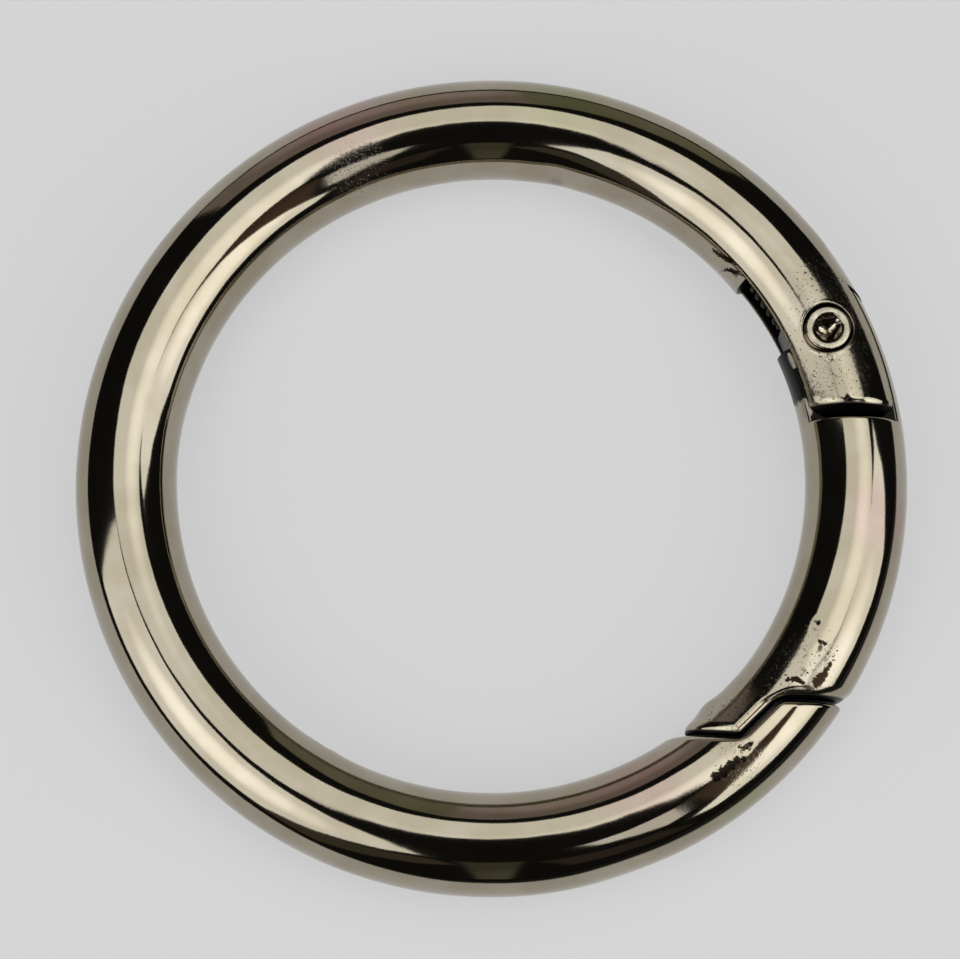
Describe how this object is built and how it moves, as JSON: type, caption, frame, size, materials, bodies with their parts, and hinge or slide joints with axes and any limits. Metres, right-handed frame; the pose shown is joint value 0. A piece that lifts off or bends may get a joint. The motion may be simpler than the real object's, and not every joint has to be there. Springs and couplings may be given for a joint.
{
  "type": "spring gate ring",
  "caption": "Round die-cast spring ring with a sprung gate that swings inward on a rivet and laps the ring with a stepped nose.",
  "frame": {"origin": "centre of the ring, in the middle plane of the wire", "axes": "+Z square to the ring; seen from +Z, +X to the right, +Y up, the hinge at the upper right and the gate down the right side"},
  "size_m": [0.0424, 0.0424, 0.0052],
  "materials": {
    "body_plating": "polished black nickel",
    "gate_plating": "polished black nickel",
    "rivet_plating": "polished black nickel",
    "spring_steel": "dark drawn wire"
  },
  "bodies": {
    "ring": {"ring_body": "body_plating", "hinge_rivet": "rivet_plating", "gate_spring": "spring_steel"},
    "gate": {"gate": "gate_plating"}
  },
  "joints": [
    {"name": "gate_hinge", "type": "hinge", "parent": "ring", "child": "gate", "pos_m": [0.0171, 0.00731, 0], "axis": [0, 0, -1], "range_deg": [0, 55], "stiffness_Nm_per_rad": 0.03, "springref_deg": -51.57, "deforming": ["gate_spring"]}
  ]
}
